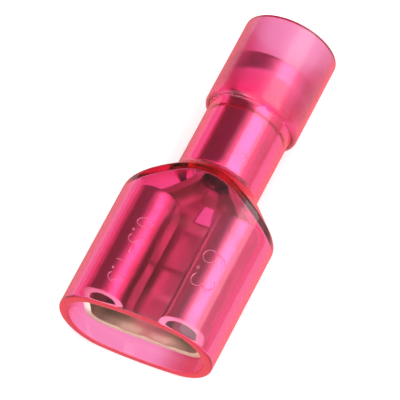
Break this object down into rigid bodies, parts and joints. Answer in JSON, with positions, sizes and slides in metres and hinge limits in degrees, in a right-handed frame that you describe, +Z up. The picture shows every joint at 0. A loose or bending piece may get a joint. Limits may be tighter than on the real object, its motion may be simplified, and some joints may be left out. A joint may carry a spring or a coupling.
{
  "type": "female spade terminal",
  "caption": "Fully insulated female spade terminal: oval see-through nylon housing round a folded metal receptacle, with a crimp sleeve and a bell for the wire.",
  "frame": {"origin": "centre of the bounding box in X and Y, at the lowest point of the terminal as it lies on its flat side", "axes": "+Y along the terminal from the mouth for the tab to the wire end, +Z up through the open side of the curls, +X to the right as seen from the mouth"},
  "size_m": [0.0094, 0.0212, 0.0058],
  "materials": {
    "nylon": "glossy, see-through pink-red nylon",
    "tinned_brass": "tin plating, satin",
    "tinned_copper": "tin plating over copper, satin"
  },
  "bodies": {
    "root": {"nylon_housing": "nylon", "receptacle": "tinned_brass", "crimp_sleeve": "tinned_copper"}
  },
  "joints": []
}
